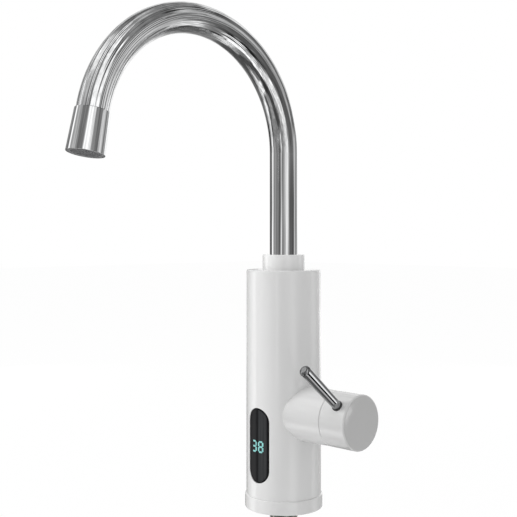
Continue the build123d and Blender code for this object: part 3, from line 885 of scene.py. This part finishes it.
@dataclass(frozen=True)
class ThreadedStud:
    """The hollow stud under the base, with a rolled water thread and a barbed nipple on top.

    Crest and root shares are of the pitch, and the barb share is of a barb's length. The
    thread goes into the stud by the overlap and leaves an end gap at the foot and the flange.
    """

    pitch: float = 1.814 * MM
    crest: float = 10.48 * MM
    depth: float = 1.16 * MM
    crest_share: float = 0.2
    root_share: float = 0.86
    overlap: float = 0.05 * MM
    steps: int = 48
    end_gap: float = 1.2 * MM
    bore: float = 5.5 * MM
    relief: Span = (-37.0 * MM, -34.0 * MM)
    flange: Span = (3.0 * MM, 7.0 * MM)
    flange_radius: float = 14.0 * MM
    nipple_radius: float = 7.5 * MM
    barb: float = 0.6 * MM
    barb_share: float = 0.3
    barbs: int = 3
    margin: float = 0.005 * MM

    def build(self, palette: Palette) -> None:
        """Makes the stud and stands it in for the plain one.

        Args:
            palette: The finishes.
        """
        low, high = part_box("threaded_shank")
        foot = low.z + self.margin
        stud = turned("threaded_stud", self.section(foot, high.z))
        stretches = (
            (foot + self.end_gap, self.relief[0]),
            (self.relief[1], self.flange[0] - self.end_gap),
        )
        for number, (start, end) in enumerate(stretches):
            stud.take(self.thread(f"thread_{number}", start, end))
        stud.seat(palette, "tap_body", "plated_brass", "threaded_shank")

    def section(self, low: float, high: float) -> list[Point]:
        """The stud's section, from the bore's low end round the outside and back.

        Args:
            low: Height of the stud's foot.
            high: Height of its top.

        Returns:
            The points, each a radius and a height.
        """
        root = self.crest - self.depth
        points = [(self.bore, low), (root - self.barb, low), (root, low + self.barb)]
        points += [(root, self.flange[0]), (self.flange_radius, self.flange[0])]
        points += [(self.flange_radius, self.flange[1]), (self.nipple_radius, self.flange[1])]
        length = (high - self.flange[1]) / self.barbs
        for number in range(self.barbs):
            foot = self.flange[1] + number * length
            points.append((self.nipple_radius, foot + self.barb_share * length))
            points.append((self.nipple_radius - self.barb, foot + length))
            if number < self.barbs - 1:
                points.append((self.nipple_radius, foot + length))
        return points + [(self.bore, high)]

    def thread(self, name: str, start: float, end: float) -> Piece:
        """One stretch of thread, wound up from a four-cornered ridge.

        Args:
            name: Its name.
            start: Height where it starts.
            end: Height that it doesn't pass.

        Returns:
            The closed ridge.
        """
        root = self.crest - self.depth - self.overlap
        flat = self.pitch * self.crest_share / 2.0
        foot = self.pitch * self.root_share / 2.0
        turns = int((end - start - self.pitch) / self.pitch)
        middle = start + foot
        corners = [
            (root, middle - foot), (self.crest, middle - flat),
            (self.crest, middle + flat), (root, middle + foot),
        ]
        ridge = Piece(name, bpy.ops.mesh.primitive_plane_add, size=MM)
        ridge.draw(corners)
        ridge.modify(
            "SCREW", axis="Z", angle=math.tau, screw_offset=self.pitch, iterations=turns,
            steps=self.steps, render_steps=self.steps,
        )
        with ridge.editing():
            bpy.ops.mesh.fill_holes(sides=len(corners))
        ridge.mend()
        return ridge


@dataclass(frozen=True)
class CrossScrews:
    """The three countersunk screws in the base, with a cross recess in each head."""

    circle: float = 19.0 * MM
    first_angle: float = 30.0
    count: int = 3
    head_radius: float = 2.8 * MM
    head_height: float = 1.6 * MM
    shaft_radius: float = 1.5 * MM
    length: float = 10.0 * MM
    rim: float = 0.15 * MM
    steps: int = 48
    slot_angles: Span = (0.0, 90.0)
    slot_width: float = 0.75 * MM
    slot_length: float = 3.2 * MM
    slot_depth: float = 1.1 * MM
    slot_taper: Triple = (0.45, 0.7, 1.0)

    def build(self, palette: Palette) -> None:
        """Makes one screw, sets copies round the base and stands them in for the plain ones.

        Args:
            palette: The finishes.
        """
        screw = self.screw()
        twins = [screw.copy(f"base_screw_{number}") for number in range(1, self.count)]
        for number, twin in enumerate(twins, 1):
            twin.rotate(360.0 * number / self.count)
            screw.take(twin)
        screw.seat(palette, "tap_body", "steel", "base_screws")

    def screw(self) -> Piece:
        """Makes one screw.

        Returns:
            The screw, in its place.
        """
        end = self.length - self.shaft_radius
        points = [
            (0.0, 0.0), (self.head_radius - self.rim, 0.0), (self.head_radius, self.rim),
            (self.shaft_radius, self.head_height), (self.shaft_radius, end), (0.0, self.length),
        ]
        screw = turned("cross_recess_screws", points, self.steps)
        for angle in self.slot_angles:
            screw.cut(self.slot(angle))
        screw.move(Vector((self.circle, 0.0, 0.0)))
        screw.rotate(self.first_angle)
        return screw

    def slot(self, angle: float) -> Piece:
        """One arm of the recess: a block that narrows upward.

        Args:
            angle: The way that it lies, in degrees.

        Returns:
            The block, to be cut out.
        """
        slot = Piece("slot", bpy.ops.mesh.primitive_cube_add, size=1.0)
        with slot.editing():
            size = (self.slot_length, self.slot_width, 2.0 * self.slot_depth)
            bpy.ops.transform.resize(value=size)
            slot.pick(lambda middle: middle.z > self.slot_depth / 2.0)
            bpy.ops.transform.resize(value=self.slot_taper)
        slot.rotate(angle)
        return slot


@dataclass(frozen=True)
class AeratorInsert:
    """The outlet's insert: a ring round a fine square grille, set in the nozzle's mouth.

    It is made upright, with heights from where the bend ends, and then turned and carried
    round the bend.
    """

    bend_angle: float = 168.9
    mouth: float = 27.7 * MM
    length: float = 10.0 * MM
    radius: float = 11.55 * MM
    ring_width: float = 1.5 * MM
    chamfer: float = 0.15 * MM
    lip_radius: float = 9.5 * MM
    lip: float = 0.4 * MM
    cells: int = 18
    bar: float = 0.14 * MM
    well: float = 1.6 * MM
    wall: float = 0.05 * MM

    def build(self, palette: Palette) -> None:
        """Makes the ring and the grille and stands them in for the plain insert.

        Args:
            palette: The finishes.
        """
        insert = self.ring()
        insert.take(self.grille())
        insert.rotate(self.bend_angle, Axis.ACROSS)
        turn = math.radians(self.bend_angle)
        out = -BEND_RADIUS * (1.0 - math.cos(turn))
        insert.move(Vector((0.0, out, BEND_HEIGHT + BEND_RADIUS * math.sin(turn))))
        insert.seat(palette, "spout", "aerator_plastic", "aerator")

    @property
    def inner(self) -> float:
        """Radius of the ring's bore, which the grille fills."""
        return self.radius - self.ring_width

    def ring(self) -> Piece:
        """The cage that holds the grille.

        Returns:
            The cage, with its face at the mouth.
        """
        low = self.mouth - self.length
        points = [
            (self.radius, low), (self.radius, self.mouth - self.chamfer),
            (self.radius - self.chamfer, self.mouth), (self.lip_radius + self.chamfer, self.mouth),
            (self.lip_radius, self.mouth - self.chamfer), (self.lip_radius, self.mouth - self.lip),
            (self.inner, self.mouth - self.lip), (self.inner, low),
        ]
        return turned("aerator_insert", points)

    def grille(self) -> Piece:
        """A plate of square cells, each sunk between thin bars.

        Returns:
            The plate, under the ring's lip.
        """
        face = self.mouth - self.lip
        grille = Piece(
            "grille", bpy.ops.mesh.primitive_grid_add, x_subdivisions=self.cells,
            y_subdivisions=self.cells, size=2.0 * self.inner, location=(0.0, 0.0, face),
        )
        with grille.editing():
            grille.pick(lambda middle: Vector((middle.x, middle.y)).length > self.inner)
            bpy.ops.mesh.delete(type="FACE")
            bpy.ops.mesh.select_all(action="SELECT")
            bpy.ops.mesh.inset(thickness=self.bar, use_individual=True)
            bpy.ops.mesh.extrude_faces_move(TRANSFORM_OT_shrink_fatten={"value": -self.well})
        grille.modify("SOLIDIFY", thickness=self.wall, offset=-1.0)
        grille.mend()
        return grille


# Studio


@dataclass(frozen=True)
class Panel:
    """A soft light or a dark flag in the studio, which only polished surfaces see.

    Left and right are in degrees round the tap, from the camera's own direction, positive to
    its right. Low and high are in degrees above the horizon.
    """

    left: float
    right: float
    low: float
    high: float
    level: float
    soft: float = 6.0

    def cover(self, angle: Wire, height: Wire) -> Wire:
        """One inside the panel and nought outside, with soft edges."""
        across = angle.between(self.left, self.right, self.soft)
        return across * height.between(self.low, self.high, self.soft)


@dataclass(frozen=True)
class SoftLamp:
    """A square lamp that faces the tap and that polished surfaces don't show."""

    name: str
    spot: Triple
    size: float
    power: float
    aim: Triple = (0.0, 0.0, 0.15)

    def build(self) -> None:
        """Hangs the lamp."""
        data = bpy.data.lights.new(self.name, "AREA")
        data.size = self.size
        data.energy = self.power
        lamp = bpy.data.objects.new(self.name, data)
        lamp.location = self.spot
        way = Vector(self.aim) - Vector(self.spot)
        lamp.rotation_euler = way.to_track_quat("-Z", "Y").to_euler()
        lamp.visible_glossy = False
        bpy.context.scene.collection.objects.link(lamp)


@dataclass(frozen=True)
class StripLamp:
    """A slim lamp beside the lever and in line with it, which only polished surfaces near it show.

    Its azimuth and elevation are measured as a panel's limits are, from the lever's middle.
    The lean is the lever's own, in degrees from upright.
    """

    azimuth: float = 82.0
    elevation: float = -12.0
    width: float = 26.0 * MM
    length: float = 54.0 * MM
    away: float = 50.0 * MM
    reach: Span = (45.0 * MM, 58.0 * MM)
    level: float = 2.2
    lean: float = 50.2
    hidden: tuple[str, ...] = ("camera", "diffuse", "transmission", "volume_scatter")

    def build(self, middle: Vector, turn: float) -> None:
        """Hangs the lamp.

        Args:
            middle: The lever's middle.
            turn: The camera's own azimuth in the frame, in degrees.
        """
        lean = math.radians(self.lean)
        lever = Vector((0.0, -math.sin(lean), math.cos(lean)))
        aside = math.radians(self.azimuth + turn - 90.0)
        rise = math.radians(self.elevation)
        flat = math.cos(rise)
        way = Vector((math.cos(aside) * flat, math.sin(aside) * flat, math.sin(rise)))
        facing = (way - lever * way.dot(lever)).normalized()
        data = bpy.data.lights.new("strip_lamp", "AREA")
        data.shape = "RECTANGLE"
        data.size = self.width
        data.size_y = self.length
        data.energy = self.level * math.pi * self.width * self.length
        self.limit(data)
        lamp = bpy.data.objects.new("strip_lamp", data)
        lamp.location = middle + way * self.away
        lamp.rotation_euler = Matrix((lever.cross(facing), lever, facing)).transposed().to_euler()
        for sight in self.hidden:
            setattr(lamp, f"visible_{sight}", False)
        bpy.context.scene.collection.objects.link(lamp)

    def limit(self, data: bpy.types.Light) -> None:
        """Lets the lamp shine only as far as it reaches.

        Args:
            data: The lamp's data.
        """
        data.use_nodes = True
        graph = Graph(data.node_tree)
        low, high = self.reach
        past = abs(graph.ray("Ray Length") - (high + low) / 2.0) > (high - low) / 2.0
        glow = graph.add("ShaderNodeEmission", sockets={"Strength": 1.0 - past})
        graph.add("ShaderNodeOutputLight", sockets={"Surface": glow})


@dataclass(frozen=True)
class Studio:
    """Camera, lamps, floor and surroundings. Lengths are in metres and angles in degrees."""

    eye: Triple = (0.4835, -0.5103, 0.20305)
    turn: float = 45.0
    lens: float = 65.0
    sensor: float = 36.0
    shift: float = -0.0457
    clip: Span = (0.05, 50.0)
    floor_half: float = 6.0
    floor_gap: float = 0.5 * MM
    floor_shadow: float = 0.03
    floor_grey: float = 0.9
    ambient: float = 0.51
    sky_lean: float = 0.45
    room_level: float = 0.30
    wobble: float = 14.0
    wobble_scale: float = 4.0
    mottle: float = 0.7
    mottle_scale: float = 9.0
    mottle_twist: float = 1.2
    panels: tuple[Panel, ...] = (
        Panel(-130, -10, 78, 100, 0.2, 8), Panel(-10, 230, 80, 100, 0.7, 8),
        Panel(-122, -60, 44, 60, 1.15, 8), Panel(-122, -96, 40, 58, 1.2),
        Panel(-118, -66, 58, 68, 0.6, 6), Panel(-150, -8, 68, 80, 0.1),
        Panel(-97, -56, 14, 44, 0.62, 10), Panel(-46, -26, 12, 40, 0.24, 10),
        Panel(-58, -14, 56, 82, 0.04), Panel(-8, 37, 8, 70, 1.25, 8),
        Panel(6, 38, 68, 82, 1.1, 8), Panel(0, 14, -46, 10, 0.6), Panel(14, 38, -46, 10, 1.15),
        Panel(40, 62, 8, 60, 0.36), Panel(62, 90, 8, 60, 0.22), Panel(44, 72, 20, 38, 0.08),
        Panel(98, 136, 8, 72, 0.19), Panel(108, 146, 38, 52, 0.06),
        Panel(-172, -142, 40, 60, 0.12), Panel(96, 108, 8, 24, 0.55, 4),
        Panel(84, 96, 40, 50, 0.6, 4), Panel(84, 100, 48, 64, 0.07), Panel(87, 98, 6, 46, 0.7, 4),
        Panel(80, 114, 2, 9, 0.85, 3), Panel(136, 200, 8, 46, 0.95),
        Panel(-200, -146, 10, 40, 0.9), Panel(50, 86, -46, 6, 0.13, 10),
        Panel(54, 82, -46, -20, 0.06, 8), Panel(71, 75, -36, -8, 0.34, 2),
        Panel(92, 112, -36, 6, 0.72), Panel(101, 114, -38, -24, 1.2, 4),
        Panel(116, 146, -60, -18, 0.1), Panel(145, 158, -30, -10, 0.5, 4),
        Panel(126, 148, -9, 10, 0.6), Panel(146, 200, -20, 8, 0.6),
        Panel(140, 172, -60, -22, 0.18), Panel(-172, -124, -70, -20, 0.11),
        Panel(-150, -118, -18, 6, 0.2), Panel(-142, -128, -10, 9, 0.0, 3),
        Panel(-112, -95, -30, 50, 1.4, 5), Panel(-118, -108, -45, -4, 0.75, 5),
        Panel(-104, -84, -44, -26, 1.2, 5), Panel(-108, -60, -62, -47, 1.35, 8),
        Panel(-96, -82, -24, -6, 0.03), Panel(-80, -66, -46, -24, 0.12),
        Panel(-62, -44, -48, -24, 0.42), Panel(-38, -4, -64, -18, 0.08, 8),
        Panel(-52, -4, -64, -48, 0.05), Panel(-170, -122, -18, -5, 0.2, 4),
        Panel(-79, -71, -6, 12, 0.42, 3), Panel(-41, -33, -6, 12, 0.1, 3),
        Panel(-25, -16, -12, 12, 1.0, 3), Panel(-155, -5, -84, -64, 0.09, 8),
        Panel(-180, -146, -84, -68, 0.4, 8), Panel(-100, -56, -70, -60, 0.3),
        Panel(0, 100, -71, -53, 1.55), Panel(50, 80, -51, -30, 0.02),
        Panel(12, 46, -58, -49, 1.3), Panel(38, 70, -84, -68, 0.5, 8),
        Panel(95, 200, -80, -60, 1.1, 8), Panel(46, 106, -84, -72, 0.3, 4),
        Panel(108, 130, -71, -46, 0.05), Panel(144, 190, -8, 12, 1.4),
        Panel(172, 190, -8, 44, 1.0), Panel(-190, -174, -8, 44, 0.8),
        Panel(-190, -160, -8, 6, 0.7), Panel(172, 190, -60, -28, 0.35),
    )
    lamps: tuple[SoftLamp, ...] = (
        SoftLamp("key_lamp", (-1.28, -1.2, 0.75), 0.8, 16.0),
        SoftLamp("top_lamp", (0.1, 0.1, 1.6), 0.8, 4.0),
        SoftLamp("right_rim_lamp", (-0.18, 1.19, 0.05), 0.4, 5.0),
        SoftLamp("left_rim_lamp", (-1.17, 0.28, 0.05), 0.4, 2.0),
    )
    strip: StripLamp = StripLamp()

    def build(self) -> None:
        """Sets up everything round the tap."""
        bpy.context.scene.view_settings.view_transform = "Standard"
        self.make_camera()
        self.make_surroundings()
        self.make_floor()
        for lamp in self.lamps:
            lamp.build()
        low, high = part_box("lever")
        self.strip.build((low + high) / 2.0, self.turn)

    def make_camera(self) -> None:
        """Stands the camera where the photograph was taken from."""
        data = bpy.data.cameras.new("camera")
        data.lens = self.lens
        data.sensor_width = self.sensor
        data.sensor_fit = "HORIZONTAL"
        data.shift_y = self.shift
        data.clip_start, data.clip_end = self.clip
        camera = bpy.data.objects.new("camera", data)
        camera.location = self.eye
        camera.rotation_euler = (math.radians(90.0), 0.0, math.radians(self.turn))
        bpy.context.scene.collection.objects.link(camera)
        bpy.context.scene.camera = camera

    def make_surroundings(self) -> None:
        """White to the camera, panels to polished surfaces, even light to the rest."""
        world = bpy.data.worlds.new("studio")
        bpy.context.scene.world = world
        world.use_nodes = True
        graph = Graph(world.node_tree)
        direction = graph.add("ShaderNodeTexCoord", output="Generated")
        _, _, up = graph.axes(direction)
        sky = (up * self.sky_lean + 1.0) * self.ambient
        plain, even, shiny = (
            graph.add("ShaderNodeBackground", sockets={"Color": color, "Strength": strength})
            for color, strength in (
                (WHITE_LIGHT, 1.0), (WHITE_LIGHT, sky),
                (PANEL_LIGHT, self.reflected(graph, direction)),
            )
        )
        mirror = graph.ray("Is Glossy Ray")
        lit = graph.add("ShaderNodeMixShader", sockets={0: mirror, 1: even, 2: shiny})
        shown = graph.add("ShaderNodeMixShader", sockets={0: graph.looked_at(), 1: lit, 2: plain})
        graph.add("ShaderNodeOutputWorld", sockets={"Surface": shown})

    def reflected(self, graph: Graph, direction: Wire) -> Wire:
        """How bright the studio is in each direction, for polished surfaces.

        Args:
            graph: The world's nodes.
            direction: The direction that is looked in.

        Returns:
            The brightness, with the panels laid over each other in order.
        """
        facing = graph.add(
            "ShaderNodeVectorRotate",
            {"rotation_type": "Z_AXIS"},
            {"Vector": direction, "Angle": math.radians(self.turn)},
        )
        towards, aside, up = graph.axes(facing)
        drift = {"Vector": direction, "Scale": self.wobble_scale, "Detail": Detail.SOFT.value}
        drift_aside, drift_up, _ = graph.axes(graph.add("ShaderNodeTexNoise", {}, drift, 1))
        angle = aside.arctan(towards) * math.degrees(1.0) + (drift_aside - 0.5) * self.wobble
        height = up.arcsin() * math.degrees(1.0) + (drift_up - 0.5) * self.wobble
        level = self.room_level
        for panel in self.panels:
            level = level + (panel.level - level) * panel.cover(angle, height)
        streaks = graph.add(
            "ShaderNodeTexNoise",
            sockets={
                "Vector": direction,
                "Scale": self.mottle_scale,
                "Detail": Detail.FINE.value,
                "Distortion": self.mottle_twist,
            },
        )
        return level * ((streaks.within(*NOISE_SPAN) - 0.5) * self.mottle + 1.0)

    def make_floor(self) -> None:
        """A pale floor below the tap's lowest point."""
        low = cad_box[0][2] - self.floor_gap
        bpy.ops.object.select_all(action="DESELECT")
        bpy.ops.mesh.primitive_plane_add(size=2.0 * self.floor_half, location=(0.0, 0.0, low))
        floor = bpy.context.object
        floor.name = "studio_floor"
        material = bpy.data.materials.new("studio_floor")
        material.use_nodes = True
        graph = Graph(material.node_tree)
        grey = (self.floor_grey, self.floor_grey, self.floor_grey, 1.0)
        matt = graph.add("ShaderNodeBsdfDiffuse", sockets={"Color": grey})
        glow = graph.add("ShaderNodeEmission", sockets={"Color": WHITE_LIGHT, "Strength": 1.0})
        seen = graph.looked_at() * (1.0 - self.floor_shadow)
        mixed = graph.add("ShaderNodeMixShader", sockets={0: seen, 1: matt, 2: glow})
        graph.add("ShaderNodeOutputMaterial", sockets={"Surface": mixed})
        floor.data.materials.append(material)
        floor.visible_glossy = False


def main() -> None:
    """Dresses the tap and sets up the studio."""
    logging.basicConfig(level=logging.INFO, format="%(name)s: %(message)s")
    palette = Palette()
    palette.dress_nodes()
    for maker in (ThreadedStud(), CrossScrews(), AeratorInsert()):
        maker.build(palette)
        log.info("built %s", type(maker).__name__)
    Studio().build()
    log.info("studio ready")


if __name__ == "__main__":
    main()
